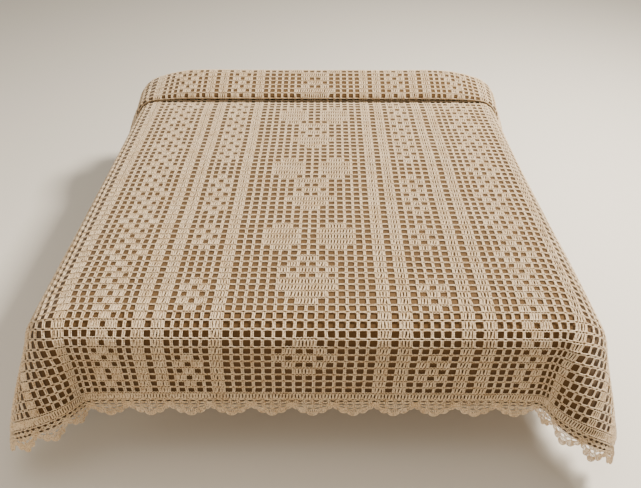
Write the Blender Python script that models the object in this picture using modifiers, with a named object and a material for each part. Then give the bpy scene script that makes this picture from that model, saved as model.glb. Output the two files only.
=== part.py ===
"""Crochet bedspread lying on a bed: a one-piece filet cloth and its scalloped edging, over a plain brown
blanket on a plain bed.

Metres, +Z up. The foot of the bed faces -Y and the head faces +Y. The shapes are worked out about the middle
of the bed, and all of them are then moved so that the origin is on the floor under the middle of the whole.
The cloth has flat coordinates of its own, u across the bed and v along it, and drape() lays them on the bed.
"""
import bmesh
import bpy
import math
import numpy as np
from mathutils import Vector

# ---- the cloth ----
CELL = 0.0326                  # pitch of one open square of the net
THICKNESS = 0.005              # crochet worked in chunky cotton yarn
SPREAD_HALF_WIDTH = 36.0 * CELL
EDGING_VALLEY = 0.95 * CELL    # depth of the edging between two scallops
EDGING_TIP = 2.55 * CELL       # depth of the edging at the middle of a scallop
SCALLOP = 4.235 * CELL
SCALLOP_STEPS = 4              # sections of the edging in one scallop
SEAM_GAP = 0.0025              # cloth to edging, along the cloth, before the facets bring them closer

# ---- the blanket under it ----
BLANKET_THICKNESS = 0.002
BLANKET_BELOW_HEM = 1.0 * CELL  # it ends behind the edging, above the valleys between the scallops
BLANKET_PAST_TUCK = 9.0 * CELL  # and a little behind the turned-back band
BLANKET_SLACK = [
    # cells past the edge of the top, how much further inside the net the blanket hangs there than it lies
    (0.0, 0.0),
    (2.0, 0.002),
    (12.0, 0.006),
]

# ---- how it lies ----
TOP_HALF_WIDTH = 24.95 * CELL  # flat part of the top, to where the side bends start
BEND_RADIUS = 3.0 * CELL
HANG_TILT = math.radians(4.0)  # the drops hang a little outwards
FOOT_HEM = 11.03 * CELL        # from the start of the foot bend, down the cloth, to its hem
TUCK = 45.4 * CELL             # from the start of the foot bend, along the top, to the turned-back band
RIPPLE = 0.0035                # soft swells in the top, half their height

# ---- the bed ----
MATTRESS = (1.80, 2.00, 0.26)
MATTRESS_EDGE = 0.125
BASE = (1.78, 1.98, 0.0944)
BASE_EDGE = 0.02
PLINTH = (1.36, 1.56, 0.245)
REST_GAP = 0.0003              # between two parts of the bed
CLOTH_GAP = 0.0004             # mattress to blanket, and blanket to net

BED_TOP = PLINTH[2] + REST_GAP + BASE[2] + REST_GAP + MATTRESS[2]
CLOTH_TOP = BED_TOP + CLOTH_GAP + BLANKET_THICKNESS + CLOTH_GAP + THICKNESS / 2
FOOT_BEND_Y = -TOP_HALF_WIDTH - (MATTRESS[1] - MATTRESS[0]) / 2

# The turned-back band, as the way its cloth runs from the tuck: along the bed and above it, in cells.
# The cloth goes under the band, turns up and forward, turns over at the nose, and ends behind the crest.
BAND_WAY = [
    # ahead, height
    (0.0, 0.0),
    (2.8, 0.0),
    (5.4, 0.0),
    (6.6, 0.5),
    (6.7, 1.35),
    (5.7, 1.9),
    (4.0, 1.55),
    (2.2, 1.0),
    (0.7, 0.5),
    (-0.15, 0.5),
    (-0.45, 0.95),
    (0.0, 1.4),
    (1.5, 1.82),
    (3.4, 2.34),
    (4.9, 2.66),
    (5.9, 2.55),
    (6.9, 1.75),
    (7.4, 0.85),
    (8.2, 0.25),
]

# How high the band stands off the bed, as a share of its height on the top: it is pressed down over the
# side bends and stands off again where it hangs.
BAND_LOFT = [
    # across, share
    (0.0, 1.0),
    (10.0, 1.0),
    (19.0, 1.0),
    (23.0, 0.8),
    (26.0, 0.48),
    (29.0, 0.44),
    (32.0, 0.85),
    (36.0, 1.3),
    (39.0, 1.5),
]

# The side bends at the foot: the flat part there is narrower than at the head, and the bend is rounder.
SIDE_BENDS = {
    # side: narrowing, softness
    -1: dict(narrowing=1.35 * CELL, softness=2.9 * CELL),
    1: dict(narrowing=1.0 * CELL, softness=3.1 * CELL),
}

# The fold that the spare cloth makes at each foot corner. flare is the most that it stands out from hanging
# straight, sag is the share of that lost by the time the cloth reaches the hem, turn swings it sideways, and
# reach is how far in from the corner the cloth is drawn towards it.
CORNER_FOLDS = {
    # side: flare, sag, turn, reach
    -1: dict(flare=math.radians(27), sag=0.55, turn=math.radians(8), reach=1.1 * CELL),
    1: dict(flare=math.radians(26), sag=0.5, turn=math.radians(-5), reach=1.3 * CELL),
}
CORNER_LENGTH = 19.0 * CELL    # from the corner of the top to the corner of the cloth

# name, base colour, roughness
FINISHES = {
    "bedspread": ((0.69, 0.55, 0.39, 1.0), 0.9),
    "scalloped_edging": ((0.72, 0.58, 0.42, 1.0), 0.9),
    "under_blanket": ((0.24, 0.14, 0.06, 1.0), 0.95),
    "mattress": ((0.26, 0.13, 0.055, 1.0), 0.95),
    "bed_base": ((0.20, 0.10, 0.045, 1.0), 0.95),
    "plinth": ((0.05, 0.035, 0.025, 1.0), 0.7),
}


def smooth_step(x):
    x = np.clip(x, 0.0, 1.0)
    return x * x * (3.0 - 2.0 * x)


def smooth_path(points, steps=12):
    """A Catmull-Rom curve through the points, as (distance, first coordinate, second coordinate)."""
    knots = np.array(points, dtype=float)
    padded = np.vstack([2 * knots[0] - knots[1], knots, 2 * knots[-1] - knots[-2]])
    line = []
    for i in range(len(knots) - 1):
        a, b, c, d = padded[i:i + 4]
        for t in np.arange(steps) / steps:
            line.append(0.5 * (2 * b + (c - a) * t + (2 * a - 5 * b + 4 * c - d) * t ** 2
                               + (3 * b - a - 3 * c + d) * t ** 3))
    line.append(knots[-1])
    line = np.array(line)
    distance = np.concatenate([[0.0], np.cumsum(np.linalg.norm(np.diff(line, axis=0), axis=1))])
    return distance, line[:, 0], line[:, 1]


BAND_DISTANCE, BAND_AHEAD, BAND_HEIGHT = [CELL * column for column in smooth_path(BAND_WAY)]
BAND_HEIGHT = np.maximum(BAND_HEIGHT, 0.0)
LOFT_ACROSS, LOFT_SHARE = smooth_path(BAND_LOFT)[1:]
HEAD_EDGE = TUCK + BAND_DISTANCE[-1]


def fold_directions(flare, turn, samples=91):
    """The directions in which the spare cloth leaves a corner: angle in the flat cloth, compass, tilt.

    They run round a loop that starts and ends straight down, evenly spaced along it."""
    angle = np.linspace(-math.pi / 4, math.pi / 4, samples)
    lobe = np.sqrt(np.clip(np.cos(2 * angle), 0.0, None))
    tilt = HANG_TILT + flare * lobe
    compass = math.pi / 4 + angle + turn * lobe
    step = np.hypot(np.diff(tilt), np.sin((tilt[1:] + tilt[:-1]) / 2) * np.diff(compass))
    travelled = np.concatenate([[0.0], np.cumsum(step)])
    return travelled / travelled[-1] * math.pi / 2, compass, tilt


def hang(distance, radius, tilt, sag):
    """Out and down along a line of cloth that goes over the bend and then hangs: (out, down)."""
    turned = math.pi / 2 - tilt
    over = np.clip(distance / radius, 0.0, turned)
    beyond = np.clip(distance - radius * turned, 0.0, None)
    curve = np.maximum((tilt - HANG_TILT) * sag / CORNER_LENGTH, 1e-6)
    out = radius * np.sin(over) + (np.cos(tilt - curve * beyond) - np.cos(tilt)) / curve
    down = radius * (1 - np.cos(over)) + (np.sin(tilt) - np.sin(tilt - curve * beyond)) / curve
    return out, down


def band_loft(u):
    """Share of the band's height that it has at u; it stands off a little more on the left."""
    share = np.interp(np.abs(u) / CELL, LOFT_ACROSS, LOFT_SHARE)
    return share * np.where(u < 0, 1.0 + 0.15 * smooth_step((np.abs(u) / CELL - 26) / 8), 1.0)


def ripple(u, along):
    """Soft swells in the top, none at its edges."""
    inside = smooth_step((TOP_HALF_WIDTH - np.abs(u)) / (4 * CELL)) * smooth_step(along / (5 * CELL))
    inside = inside * smooth_step((TUCK - along) / (3 * CELL))
    lengthwise = np.sin(2 * math.pi * (TUCK - along) / (15.0 * CELL) + 0.6 * u)
    crosswise = np.sin(2 * math.pi * u / (31.0 * CELL) + 1.1)
    return RIPPLE * inside * (1.2 + 0.7 * lengthwise + 0.5 * crosswise)


def drawn_in(past_here, past_there, reach):
    """The reach that a corner has on cloth that lies past one edge, near the other."""
    return reach * smooth_step((past_here / CELL - 1.7) / 5.4) * smooth_step(past_there / (10 * CELL) + 2.2)


def drape(u, v, turned_back=True):
    """Lay flat points of the cloth on the bed: u across from the middle, v from the foot bend to the head."""
    u = np.asarray(u, dtype=float)
    v = np.asarray(v, dtype=float)
    side = np.where(u < 0, -1.0, 1.0)
    loosened = smooth_step(((TUCK - v) / TUCK - 0.3) / 0.7)
    top = TOP_HALF_WIDTH - loosened * np.where(u < 0, SIDE_BENDS[-1]["narrowing"], SIDE_BENDS[1]["narrowing"])
    past_side = np.abs(u) - top
    past_foot = -v
    reach = np.where(u < 0, CORNER_FOLDS[-1]["reach"], CORNER_FOLDS[1]["reach"])
    reach_side = drawn_in(past_foot, past_side, reach)
    reach_foot = drawn_in(past_side, past_foot, reach)
    soft_side = (past_side + np.sqrt(past_side ** 2 + reach_side ** 2)) / 2
    soft_foot = (past_foot + np.sqrt(past_foot ** 2 + reach_foot ** 2)) / 2

    distance = np.hypot(soft_side, soft_foot)
    angle = np.arctan2(soft_side, np.maximum(soft_foot, 1e-9))
    compass = np.zeros_like(u)
    tilt = np.zeros_like(u)
    sag = np.zeros_like(u)
    for which, fold in CORNER_FOLDS.items():
        flat, loop_compass, loop_tilt = fold_directions(fold["flare"], fold["turn"])
        here = side == which
        compass[here] = np.interp(angle[here], flat, loop_compass)
        tilt[here] = np.interp(angle[here], flat, loop_tilt)
        sag[here] = fold["sag"]
    compass = angle + (compass - angle) * smooth_step(distance / (6 * CELL))
    softness = np.where(u < 0, SIDE_BENDS[-1]["softness"], SIDE_BENDS[1]["softness"])
    radius = BEND_RADIUS + softness * loosened * np.sin(angle) ** 2
    out, down = hang(distance, radius, tilt, sag)

    in_band = (v > TUCK) & turned_back
    along = np.where(in_band, TUCK + np.interp(v - TUCK, BAND_DISTANCE, BAND_AHEAD), v)
    rise = np.where(in_band, np.interp(v - TUCK, BAND_DISTANCE, BAND_HEIGHT), 0.0)
    rise = rise * band_loft(u) + ripple(u, v)
    lean = np.clip(soft_side / radius, 0.0, math.pi / 2 - HANG_TILT)

    x = top + out * np.sin(compass) + past_side - soft_side + rise * np.sin(lean)
    y = FOOT_BEND_Y + along - out * np.cos(compass) + soft_foot
    z = CLOTH_TOP - down + rise * np.cos(lean)
    return np.stack([side * x, y, z], axis=-1)


def under_drape(u, v):
    """Lay flat points of the blanket on the bed, just inside the net and flat under its turned-back band."""
    step = 1e-4
    across = drape(u + step, v, False) - drape(u - step, v, False)
    along = drape(u, v + step, False) - drape(u, v - step, False)
    normal = np.cross(across, along)
    normal /= np.linalg.norm(normal, axis=-1, keepdims=True)
    slack = np.interp(np.maximum(np.abs(u) - TOP_HALF_WIDTH, -v) / CELL, *zip(*BLANKET_SLACK))
    inset = THICKNESS / 2 + CLOTH_GAP + BLANKET_THICKNESS / 2 + slack
    return drape(u, v, False) - normal * inset[..., None]


def spaced(*stretches):
    """Positions along stretches given as (start, end, number of steps)."""
    values = [np.linspace(start, end, count + 1) for start, end, count in stretches]
    return np.unique(np.round(np.concatenate(values), 6))


def new_collection(name):
    collection = bpy.data.collections.new(name)
    bpy.context.scene.collection.children.link(collection)
    return collection


def finish_material(name):
    colour, roughness = FINISHES[name]
    material = bpy.data.materials.new(name)
    material.use_nodes = True
    shader = material.node_tree.nodes["Principled BSDF"]
    shader.inputs["Base Color"].default_value = colour
    shader.inputs["Roughness"].default_value = roughness
    shader.inputs["Metallic"].default_value = 0.0
    return material


def add_object(name, mesh, collection):
    mesh.materials.append(finish_material(name))
    thing = bpy.data.objects.new(name, mesh)
    collection.objects.link(thing)
    return thing


def sheet(name, points, thickness, collection):
    """An open sheet through a grid of points, thickened both ways."""
    rows, columns = points.shape[:2]
    points = points.reshape(-1, 3)
    index = np.arange(rows * columns).reshape(rows, columns)
    faces = []
    for i in range(rows - 1):
        for j in range(columns - 1):
            faces.append((index[i, j], index[i, j + 1], index[i + 1, j + 1], index[i + 1, j]))
    mesh = bpy.data.meshes.new(name)
    mesh.from_pydata([tuple(p) for p in points], [], faces)
    thing = add_object(name, mesh, collection)
    thick = thing.modifiers.new("thickness", "SOLIDIFY")
    thick.thickness = thickness
    thick.offset = 0.0
    thick.use_even_offset = True
    mesh.shade_smooth()
    return thing


def across_and_drop(beyond=0.0):
    """Where the cloths bend, across the bed and up the foot drop, each carried on past its hem by a little."""
    bend = TOP_HALF_WIDTH
    side = spaced((bend - 5 * CELL, bend - CELL, 2), (bend - CELL, bend + 5 * CELL, 7),
                  (bend + 5 * CELL, SPREAD_HALF_WIDTH, 3), (SPREAD_HALF_WIDTH, SPREAD_HALF_WIDTH + beyond, 1))
    across = np.concatenate([-side[::-1], spaced((-bend + 5 * CELL, bend - 5 * CELL, 6))[1:-1], side])
    drop = spaced((-FOOT_HEM - beyond, -FOOT_HEM, 1), (-FOOT_HEM, -5 * CELL, 3), (-5 * CELL, 0, 6))
    return across, drop


def make_bedspread(collection):
    """The whole cloth in one piece, from the foot hem to the head edge."""
    across, drop = across_and_drop()
    turns = spaced((0, 5.0 * CELL, 1), (5.0 * CELL, 7.6 * CELL, 6), (7.6 * CELL, 13.4 * CELL, 4),
                   (13.4 * CELL, 15.9 * CELL, 7), (15.9 * CELL, 20.0 * CELL, 3),
                   (20.0 * CELL, HEAD_EDGE - TUCK, 8))
    along = np.concatenate([drop, spaced((0, TUCK, 9))[1:], TUCK + turns[1:]])
    return sheet("bedspread", drape(*np.meshgrid(across, along)), THICKNESS, collection)


def make_under_blanket(collection):
    """The blanket in one piece, from behind the foot edging to just behind the turned-back band."""
    across, drop = across_and_drop(BLANKET_BELOW_HEM)
    along = np.concatenate([drop, spaced((0, TUCK, 9), (TUCK, TUCK + BLANKET_PAST_TUCK, 1))[1:]])
    return sheet("under_blanket", under_drape(*np.meshgrid(across, along)), BLANKET_THICKNESS, collection)


def scallop_depth(scallops):
    """Depth of the edging after a number of scallops: round lobes with valleys between them."""
    phase = np.abs(np.mod(scallops, 1.0) - 0.5) * 2
    return EDGING_VALLEY + (EDGING_TIP - EDGING_VALLEY) * np.sqrt(np.clip(1 - phase ** 2, 0.0, 1.0))


def hem_stations():
    """Places along the left side hem, round the left foot corner and along the foot hem to its middle.

    Each is a flat point on the hem, the way out from it, and how many scallops lie behind it."""
    side_steps = round((HEAD_EDGE + FOOT_HEM) / SCALLOP) * SCALLOP_STEPS
    foot_steps = round(SPREAD_HALF_WIDTH / SCALLOP * SCALLOP_STEPS)
    stations = []
    for v in np.linspace(HEAD_EDGE, -FOOT_HEM, side_steps + 1):
        stations.append((-SPREAD_HALF_WIDTH, v, -1.0, 0.0))
    for turn in np.linspace(0, math.pi / 2, SCALLOP_STEPS + 1)[1:-1]:
        stations.append((-SPREAD_HALF_WIDTH, -FOOT_HEM, -math.cos(turn), -math.sin(turn)))
    for u in np.linspace(-SPREAD_HALF_WIDTH, 0, foot_steps + 1):
        stations.append((u, -FOOT_HEM, 0.0, -1.0))
    return np.array(stations)


def make_edging(collection):
    """The scalloped edging along both side hems and the foot hem, turning each foot corner in one scallop."""
    left = hem_stations()
    # the first steps after the side hem share its scallop count, so the corner takes one whole scallop
    scallops = np.arange(len(left)) / SCALLOP_STEPS
    right = left[-2::-1] * (-1, 1, -1, 1)
    base_u, base_v, out_u, out_v = np.vstack([left, right]).T
    depth = scallop_depth(np.concatenate([scallops, scallops[-2::-1]]))
    reach = np.stack([np.full_like(depth, SEAM_GAP), depth])
    return sheet("scalloped_edging", drape(base_u + out_u * reach, base_v + out_v * reach), THICKNESS, collection)


def make_block(name, size, bottom, edge, segments, collection):
    """A plain block with rounded edges, standing with its underside at the given height."""
    mesh = bpy.data.meshes.new(name)
    shape = bmesh.new()
    bmesh.ops.create_cube(shape, size=1.0)
    bmesh.ops.scale(shape, vec=size, verts=shape.verts)
    shape.to_mesh(mesh)
    shape.free()
    thing = add_object(name, mesh, collection)
    thing.location = (0.0, 0.0, bottom + size[2] / 2)
    if edge:
        bevel = thing.modifiers.new("edges", "BEVEL")
        bevel.width = edge
        bevel.segments = segments
        bevel.limit_method = "ANGLE"
    return thing


def stand_over_origin(things):
    """Move everything sideways, together, so that the origin is under the middle of the whole."""
    bpy.context.view_layer.update()
    depsgraph = bpy.context.evaluated_depsgraph_get()
    corners = []
    for thing in things:
        shape = thing.evaluated_get(depsgraph)
        corners += [shape.matrix_world @ Vector(corner) for corner in shape.bound_box]
    for axis in (0, 1):
        places = [corner[axis] for corner in corners]
        middle = (min(places) + max(places)) / 2
        for thing in things:
            thing.location[axis] -= middle


def main():
    for thing in list(bpy.data.objects):
        bpy.data.objects.remove(thing, do_unlink=True)
    collection = new_collection("crochet bedspread on a bed")
    stand_over_origin([
        make_bedspread(collection),
        make_edging(collection),
        make_under_blanket(collection),
        make_block("plinth", PLINTH, 0.0, 0.0, 1, collection),
        make_block("bed_base", BASE, PLINTH[2] + REST_GAP, BASE_EDGE, 2, collection),
        make_block("mattress", MATTRESS, BED_TOP - MATTRESS[2], MATTRESS_EDGE, 5, collection),
    ])


main()
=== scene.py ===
import math
import bmesh
import bpy
import numpy as np
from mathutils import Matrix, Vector, noise


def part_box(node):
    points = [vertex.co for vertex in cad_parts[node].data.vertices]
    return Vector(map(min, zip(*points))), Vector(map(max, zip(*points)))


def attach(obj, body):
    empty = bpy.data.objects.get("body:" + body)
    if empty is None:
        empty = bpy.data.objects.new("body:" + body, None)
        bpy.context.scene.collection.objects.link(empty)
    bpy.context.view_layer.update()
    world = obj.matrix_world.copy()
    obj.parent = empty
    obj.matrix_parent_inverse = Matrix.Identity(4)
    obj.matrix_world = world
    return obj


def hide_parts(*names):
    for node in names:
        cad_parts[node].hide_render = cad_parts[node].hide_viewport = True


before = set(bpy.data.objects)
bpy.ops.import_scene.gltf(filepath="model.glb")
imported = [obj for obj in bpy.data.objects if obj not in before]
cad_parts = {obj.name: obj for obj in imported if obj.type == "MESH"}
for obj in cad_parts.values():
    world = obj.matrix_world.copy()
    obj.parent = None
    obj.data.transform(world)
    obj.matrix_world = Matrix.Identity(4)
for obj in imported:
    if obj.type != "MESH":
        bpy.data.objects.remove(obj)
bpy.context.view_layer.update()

# A filet crochet bedspread on a bed. Metres, +Z up, the foot of the bed towards -Y.
# The cloth is planned flat, u across the bed and v from the foot bend to the head, and then laid on the bed.
mattressLow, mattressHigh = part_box("mattress")
baseLow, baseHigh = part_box("bed_base")
bedMiddle = (mattressLow + mattressHigh) / 2
print("frame loaded")

cell = 0.0326                  # one square of the net: the unit that the cloth's sizes are told in

view = dict(
    lens=33.7,
    sensor=36.0,
    aside=1.05 * cell,         # right of the bed's middle line
    beforeFoot=41.0 * cell,    # in front of the foot bend
    above=41.8 * cell,         # over the cloth
    pitch=39.2,                # degrees below level
    turn=0.33,                 # degrees to the left
)

drapeSizes = dict(
    halfWidth=36.0 * cell,     # of the flat net
    topHalfWidth=24.95 * cell,             # of the part that lies on top, up to where it bends down
    bendRadius=3.0 * cell,
    hangTilt=math.radians(4.0),            # how far out from straight down the hangings are
    footHem=11.03 * cell,      # the flat length beyond the bend at the foot
    tuck=45.4 * cell,          # where the turned-back band starts
    ripple=0.0035,             # how high the top ripples
    rippleShares=(1.2, 0.7, 0.5),          # all over, along the bed and across it
    rippleAlong=15.0 * cell,   # from wave to wave
    rippleAcross=31.0 * cell,
    clothGap=0.0004,           # between mattress, blanket and net
    thickness=0.005,           # of the crochet
    loosensFrom=0.3,           # the top narrows from this share of the way to the foot
    foldOpens=6 * cell,        # a corner fold has its full turn this far out
    drawnFrom=1.7,             # a corner draws in cloth from this many cells past one edge
    drawnOver=5.4,             # and fully this many further on
    drawnNear=10 * cell,       # if it lies no more than so many of these lengths short of the other edge
    drawnLengths=2.2,
    cornerLength=19.0 * cell,  # over which a corner fold sags back towards straight down
)

blanket = dict(
    colour="#4F3610",
    thickness=0.002,
    belowHem=1.1 * cell,       # it ends behind the edging
    pastTuck=24.6 * cell,      # and just short of the net's head edge, turned back with it
    # cells past the top's edge, and how far inside the net it hangs there
    slack=[(0.0, 0.0), (2.0, 0.002), (12.0, 0.006)],
    steps=(58, 52, 66),        # across, along to the tuck, and in the band
)

# the turned-back band, as the way its cloth runs from the tuck: along the bed and above it, in cells
bandWay = [
    (0.0, 0.0), (2.8, 0.0), (5.4, 0.0), (6.6, 0.5), (6.7, 1.35), (5.7, 1.9), (4.0, 1.55), (2.2, 1.0),
    (0.7, 0.5), (-0.15, 0.5), (-0.45, 0.95), (0.0, 1.4), (1.5, 1.82), (3.4, 2.34), (4.9, 2.66),
    (5.9, 2.55), (6.9, 1.75), (7.4, 0.85), (8.2, 0.25),
]
# cells across from the middle, share of the band's height there
bandLoft = [
    (0.0, 1.0), (10.0, 1.0), (19.0, 1.0), (23.0, 0.8), (26.0, 0.48), (29.0, 0.44), (32.0, 0.85), (36.0, 1.3),
    (39.0, 1.5),
]
leftSwell = 0.15               # how much more of it at the band's left end
# the side bends at the foot, left and right: how much narrower the top is there, and how much rounder
sideBends = {
    -1: dict(narrowing=1.35 * cell, softness=2.9 * cell),
    1: dict(narrowing=1.0 * cell, softness=3.1 * cell),
}
# the fold of spare cloth at each foot corner, left and right
cornerFolds = {
    -1: dict(flare=math.radians(27), sag=0.55, turn=math.radians(8), reach=1.1 * cell),
    1: dict(flare=math.radians(26), sag=0.5, turn=math.radians(-5), reach=1.3 * cell),
}


def smoothStep(x):
    x = np.clip(x, 0.0, 1.0)
    return x * x * (3.0 - 2.0 * x)


def smoothPath(points, steps=12):
    # a Catmull-Rom curve: distance run, first coordinate, second coordinate
    knots = np.array(points, dtype=float)
    padded = np.vstack([2 * knots[0] - knots[1], knots, 2 * knots[-1] - knots[-2]])
    line = []
    for i in range(len(knots) - 1):
        a, b, c, d = padded[i:i + 4]
        for t in np.arange(steps) / steps:
            line.append(0.5 * (2 * b + (c - a) * t + (2 * a - 5 * b + 4 * c - d) * t ** 2
                               + (3 * b - a - 3 * c + d) * t ** 3))
    line.append(knots[-1])
    line = np.array(line)
    run = np.concatenate([[0.0], np.cumsum(np.linalg.norm(np.diff(line, axis=0), axis=1))])
    return run, line[:, 0], line[:, 1]


bandRun, bandAhead, bandHeight = [cell * column for column in smoothPath(bandWay)]
bandHeight = np.maximum(bandHeight, 0.0)
loftAcross, loftShare = smoothPath(bandLoft)[1:]
headEdge = drapeSizes["tuck"] + bandRun[-1]
clothTop = mattressHigh.z + 2 * drapeSizes["clothGap"] + blanket["thickness"] + drapeSizes["thickness"] / 2
footBendY = bedMiddle.y - drapeSizes["topHalfWidth"] - (mattressHigh.y - mattressLow.y
                                                        - mattressHigh.x + mattressLow.x) / 2


def foldDirections(flare, turn, samples=91):
    # directions in which the spare cloth leaves a corner, round a loop that starts and ends straight down
    angle = np.linspace(-math.pi / 4, math.pi / 4, samples)
    lobe = np.sqrt(np.clip(np.cos(2 * angle), 0.0, None))
    tilt = drapeSizes["hangTilt"] + flare * lobe
    compass = math.pi / 4 + angle + turn * lobe
    step = np.hypot(np.diff(tilt), np.sin((tilt[1:] + tilt[:-1]) / 2) * np.diff(compass))
    run = np.concatenate([[0.0], np.cumsum(step)])
    return run / run[-1] * math.pi / 2, compass, tilt


def hang(distance, radius, tilt, sag):
    # out and down along a line of cloth that goes over the bend and then hangs
    turned = math.pi / 2 - tilt
    over = np.clip(distance / radius, 0.0, turned)
    beyond = np.clip(distance - radius * turned, 0.0, None)
    curve = np.maximum((tilt - drapeSizes["hangTilt"]) * sag / drapeSizes["cornerLength"], 1e-6)
    out = radius * np.sin(over) + (np.cos(tilt - curve * beyond) - np.cos(tilt)) / curve
    down = radius * (1 - np.cos(over)) + (np.sin(tilt) - np.sin(tilt - curve * beyond)) / curve
    return out, down


def ripple(u, along):
    size = drapeSizes
    inside = smoothStep((size["topHalfWidth"] - np.abs(u)) / (4 * cell)) * smoothStep(along / (5 * cell))
    inside = inside * smoothStep((size["tuck"] - along) / (3 * cell))
    lengthwise = np.sin(2 * math.pi * (size["tuck"] - along) / size["rippleAlong"] + 0.6 * u)
    crosswise = np.sin(2 * math.pi * u / size["rippleAcross"] + 1.1)
    even, lengthShare, crossShare = size["rippleShares"]
    return size["ripple"] * inside * (even + lengthShare * lengthwise + crossShare * crosswise)


def drawnIn(pastHere, pastThere, reach):
    # the reach that a corner has on cloth that lies past one edge, near the other
    size = drapeSizes
    reach = reach * smoothStep((pastHere / cell - size["drawnFrom"]) / size["drawnOver"])
    return reach * smoothStep(pastThere / size["drawnNear"] + size["drawnLengths"])


def drape(u, v):
    # lays flat points of the cloth on the bed
    size = drapeSizes
    u = np.asarray(u, dtype=float)
    v = np.asarray(v, dtype=float)
    side = np.where(u < 0, -1.0, 1.0)
    loosened = (size["tuck"] - v) / size["tuck"] - size["loosensFrom"]
    loosened = smoothStep(loosened / (1 - size["loosensFrom"]))
    narrowing = np.where(u < 0, sideBends[-1]["narrowing"], sideBends[1]["narrowing"])
    softness = np.where(u < 0, sideBends[-1]["softness"], sideBends[1]["softness"])
    reach = np.where(u < 0, cornerFolds[-1]["reach"], cornerFolds[1]["reach"])
    top = size["topHalfWidth"] - narrowing * loosened
    pastSide = np.abs(u) - top
    pastFoot = -v
    softSide = (pastSide + np.sqrt(pastSide ** 2 + drawnIn(pastFoot, pastSide, reach) ** 2)) / 2
    softFoot = (pastFoot + np.sqrt(pastFoot ** 2 + drawnIn(pastSide, pastFoot, reach) ** 2)) / 2

    distance = np.hypot(softSide, softFoot)
    angle = np.arctan2(softSide, np.maximum(softFoot, 1e-9))
    compass = np.zeros_like(u)
    tilt = np.zeros_like(u)
    sag = np.zeros_like(u)
    for which, fold in cornerFolds.items():
        flat, loopCompass, loopTilt = foldDirections(fold["flare"], fold["turn"])
        here = side == which
        compass[here] = np.interp(angle[here], flat, loopCompass)
        tilt[here] = np.interp(angle[here], flat, loopTilt)
        sag[here] = fold["sag"]
    compass = angle + (compass - angle) * smoothStep(distance / size["foldOpens"])
    radius = size["bendRadius"] + softness * loosened * np.sin(angle) ** 2
    out, down = hang(distance, radius, tilt, sag)

    inBand = v > size["tuck"]
    along = np.where(inBand, size["tuck"] + np.interp(v - size["tuck"], bandRun, bandAhead), v)
    share = np.interp(np.abs(u) / cell, loftAcross, loftShare)
    share = share * np.where(u < 0, 1.0 + leftSwell * smoothStep((np.abs(u) / cell - 26) / 8), 1.0)
    rise = np.where(inBand, np.interp(v - size["tuck"], bandRun, bandHeight), 0.0) * share + ripple(u, v)
    lean = np.clip(softSide / radius, 0.0, math.pi / 2 - size["hangTilt"])

    x = top + out * np.sin(compass) + pastSide - softSide + rise * np.sin(lean)
    y = footBendY + along - out * np.cos(compass) + softFoot
    z = clothTop - down + rise * np.cos(lean)
    return np.stack([bedMiddle.x + side * x, y, z], axis=-1)


def surfaceNormals(place, u, v, step=1e-4):
    normals = np.cross(place(u + step, v) - place(u - step, v), place(u, v + step) - place(u, v - step))
    return normals / np.maximum(np.linalg.norm(normals, axis=-1, keepdims=True), 1e-12)


def underDrape(u, v):
    # the blanket, just inside the net and turned back with it
    across, slack = zip(*blanket["slack"])
    slack = np.interp(np.maximum(np.abs(u) - drapeSizes["topHalfWidth"], -v) / cell, across, slack)
    slack *= np.interp((v - drapeSizes["tuck"]) / cell, (0.0, 3.0), (1.0, 0.0))
    inset = drapeSizes["thickness"] / 2 + drapeSizes["clothGap"] + blanket["thickness"] / 2 + slack
    return drape(u, v) - surfaceNormals(drape, u, v) * inset[..., None]


def linear(colour, alpha=1.0):
    # an sRGB hex value as the linear colour that a shader takes
    parts = [int(colour[i:i + 2], 16) / 255 for i in (1, 3, 5)]
    return tuple(c / 12.92 if c <= 0.04045 else ((c + 0.055) / 1.055) ** 2.4 for c in parts) + (alpha,)


def addNode(tree, kind, inputs=None, **settings):
    # a node with its settings, and its inputs, by name or number, set or linked; a node given for an input
    # is linked from its first output
    node = tree.nodes.new(kind)
    for name, value in settings.items():
        setattr(node, name, value)
    for key, value in (inputs or {}).items():
        if isinstance(value, bpy.types.Node):
            value = value.outputs[0]
        if isinstance(value, bpy.types.NodeSocket):
            tree.links.new(value, node.inputs[key])
        else:
            node.inputs[key].default_value = value
    return node


def newPiece(name, mesh):
    piece = bpy.data.objects.new(name, mesh)
    bpy.context.scene.collection.objects.link(piece)
    return piece


def addInput(tree, name, kind, value=None):
    socket = tree.interface.new_socket(name=name, in_out="INPUT", socket_type=kind)
    if value is not None:
        socket.default_value = value
    return socket


def newMaterial(name, colour, roughness):
    # a Principled material with its constant values set on the shader's own sockets
    material = bpy.data.materials.new(name)
    material.use_nodes = True
    shader = material.node_tree.nodes["Principled BSDF"]
    shader.inputs["Base Color"].default_value = linear(colour)
    shader.inputs["Roughness"].default_value = roughness
    return material, material.node_tree, shader


def makeCamera():
    lens = bpy.data.cameras.new("camera")
    lens.lens = view["lens"]
    lens.sensor_width = view["sensor"]
    eye = newPiece("camera", lens)
    eye.location = (bedMiddle.x + view["aside"], footBendY - view["beforeFoot"], clothTop + view["above"])
    eye.rotation_euler = (math.radians(90 - view["pitch"]), 0.0, math.radians(view["turn"]))
    bpy.context.scene.camera = eye


lamps = {
    # name: place from the bed's middle, size, watts, colour
    "window": dict(at=(2.8, 0.6, 4.1), size=0.9, watts=670, colour="#FFF4E2"),
    "ceiling": dict(at=(-0.6, -0.6, 4.6), size=4.0, watts=70, colour="#FFF8EE"),
    "front": dict(at=(-0.8, -4.6, 2.4), size=3.0, watts=92, colour="#FFE0B8"),
    "side": dict(at=(-4.2, -1.2, 1.6), size=2.0, watts=34, colour="#FFF2DE"),
}
skyColour = "#E6DCCB"
skyStrength = 0.36


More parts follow.
